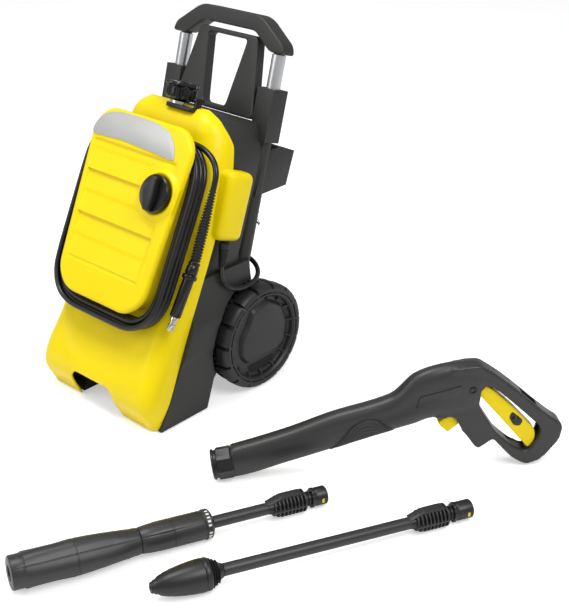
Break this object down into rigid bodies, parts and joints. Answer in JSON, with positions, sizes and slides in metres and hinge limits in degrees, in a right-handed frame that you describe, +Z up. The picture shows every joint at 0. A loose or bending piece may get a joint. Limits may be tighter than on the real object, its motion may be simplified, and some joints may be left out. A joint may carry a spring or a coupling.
{
  "type": "pressure washer",
  "caption": "Upright two-wheeled electric pressure washer with telescopic handle, wound hose, rear basket, trigger spray gun and two lances lying beside it.",
  "frame": {"origin": "floor point under the middle of the whole set's box: the machine, the spray gun and both lances", "axes": "+X to the machine's right, +Y to its rear, +Z up"},
  "size_m": [0.7862, 0.7511, 0.5859],
  "materials": {
    "yellow_plastic": "satin moulded plastic",
    "dark_plastic": "fine-grained moulded plastic",
    "wheel_plastic": "moulded plastic tread",
    "black_plastic": "fine-grained moulded plastic",
    "silver_paint": "silver paint",
    "aluminium": "satin anodised",
    "steel": "brushed",
    "rubber": "matt",
    "hose_rubber": "glossy sheath"
  },
  "bodies": {
    "machine": {"chassis": "dark_plastic", "front_housing": "yellow_plastic", "hose_hood": "yellow_plastic", "badge_plate": "silver_paint", "rear_frame": "dark_plastic", "strut_frame": "dark_plastic", "storage_basket": "dark_plastic", "cable_box": "yellow_plastic", "tube_sleeves": "dark_plastic", "cord_hook": "dark_plastic", "foot_pads": "rubber", "axle": "steel", "axle_clips": "steel", "housing_screws": "steel", "outlet_collar": "aluminium", "motor_housing": "aluminium", "pump_block": "aluminium", "pump_cage": "steel", "cylinder_head": "aluminium", "capacitor": "black_plastic", "switch_module": "black_plastic", "inlet_pipe": "black_plastic", "outlet_pipe": "black_plastic", "water_inlet": "black_plastic", "inlet_filter": "black_plastic", "power_cord": "rubber", "power_cord_coil": "rubber", "plug": "rubber", "cord_strain_relief": "rubber", "cord_tie": "rubber", "hose_coil": "hose_rubber", "hose_tail": "hose_rubber", "hose_bend_relief": "hose_rubber", "hose_plug": "hose_rubber"},
    "wheel_left": {"wheel_left": "wheel_plastic", "hubcap_left": "dark_plastic"},
    "wheel_right": {"wheel_right": "wheel_plastic", "hubcap_right": "dark_plastic"},
    "handle": {"handle_grip": "dark_plastic", "handle_tubes": "aluminium"},
    "knob": {"on_off_knob": "black_plastic"},
    "nut": {"outlet_nut": "dark_plastic"},
    "rotor": {"motor_rotor": "steel", "cooling_fan": "black_plastic", "swash_plate": "steel"},
    "piston_1": {"piston_1": "steel"},
    "piston_2": {"piston_2": "steel"},
    "piston_3": {"piston_3": "steel"},
    "gun": {"gun_shell_left": "black_plastic", "gun_shell_right": "black_plastic", "gun_muzzle": "black_plastic", "gun_valve": "black_plastic"},
    "trigger": {"gun_trigger": "yellow_plastic"},
    "lock": {"trigger_lock": "black_plastic"},
    "release_button": {"hose_release_button": "yellow_plastic"},
    "vario": {"vario_tube": "black_plastic", "vario_coupling": "black_plastic"},
    "vario_sleeve": {"vario_sleeve": "black_plastic"},
    "blaster": {"blaster_tube": "black_plastic", "blaster_nozzle": "black_plastic"}
  },
  "joints": [
    {"name": "wheel_left_roll", "type": "hinge", "parent": "machine", "child": "wheel_left", "pos_m": [-0.3667, 0.2257, 0.0906], "axis": [1, 0, 0], "continuous": true},
    {"name": "wheel_right_roll", "type": "hinge", "parent": "machine", "child": "wheel_right", "pos_m": [-0.1167, 0.2257, 0.0906], "axis": [1, 0, 0], "continuous": true},
    {"name": "handle_slide", "type": "slide", "parent": "machine", "child": "handle", "axis": [0, 0.2756, 0.9613], "range_m": [0, 0.2]},
    {"name": "knob_turn", "type": "hinge", "parent": "machine", "child": "knob", "pos_m": [-0.1707, 0.08354, 0.36008], "axis": [0, -0.8957, 0.4446], "range_deg": [-90, 0]},
    {"name": "nut_turn", "type": "hinge", "parent": "machine", "child": "nut", "pos_m": [-0.2367, 0.1923, 0.462], "axis": [0, 0.342, 0.9397], "continuous": true},
    {"name": "rotor_spin", "type": "hinge", "parent": "machine", "child": "rotor", "pos_m": [-0.2417, 0.1423, 0.1], "axis": [0, 0, 1], "continuous": true},
    {"name": "piston_1_stroke", "type": "slide", "parent": "machine", "child": "piston_1", "axis": [0, 0, 1], "range_m": [0, 0.008], "stiffness_N_per_m": 300, "springref_m": -0.004},
    {"name": "piston_2_stroke", "type": "slide", "parent": "machine", "child": "piston_2", "axis": [0, 0, 1], "range_m": [0, 0.008], "stiffness_N_per_m": 300, "springref_m": -0.004},
    {"name": "piston_3_stroke", "type": "slide", "parent": "machine", "child": "piston_3", "axis": [0, 0, 1], "range_m": [0, 0.008], "stiffness_N_per_m": 300, "springref_m": -0.004},
    {"name": "gun_lift", "type": "slide", "parent": "machine", "child": "gun", "axis": [0, 0, 1], "range_m": [0, 0.3]},
    {"name": "trigger_pull", "type": "hinge", "parent": "gun", "child": "trigger", "pos_m": [0.28442, 0.25821, 0.138], "axis": [0.7413, -0.6712, 0], "range_deg": [0, 7], "stiffness_Nm_per_rad": 1.2, "springref_deg": -8.59},
    {"name": "lock_push", "type": "slide", "parent": "trigger", "child": "lock", "axis": [-0.7413, 0.6712, 0], "range_m": [0, 0.003]},
    {"name": "button_push", "type": "slide", "parent": "gun", "child": "release_button", "axis": [0.5039, 0.5565, 0.6606], "range_m": [0, 0.004], "stiffness_N_per_m": 400, "springref_m": -0.003},
    {"name": "vario_lift", "type": "slide", "parent": "machine", "child": "vario", "axis": [0, 0, 1], "range_m": [0, 0.3]},
    {"name": "vario_twist", "type": "hinge", "parent": "vario", "child": "vario_sleeve", "pos_m": [0.05102, -0.29291, 0.02761], "axis": [0.3878, 0.9211, -0.0337], "range_deg": [-60, 60]},
    {"name": "blaster_lift", "type": "slide", "parent": "machine", "child": "blaster", "axis": [0, 0, 1], "range_m": [0, 0.3]}
  ]
}
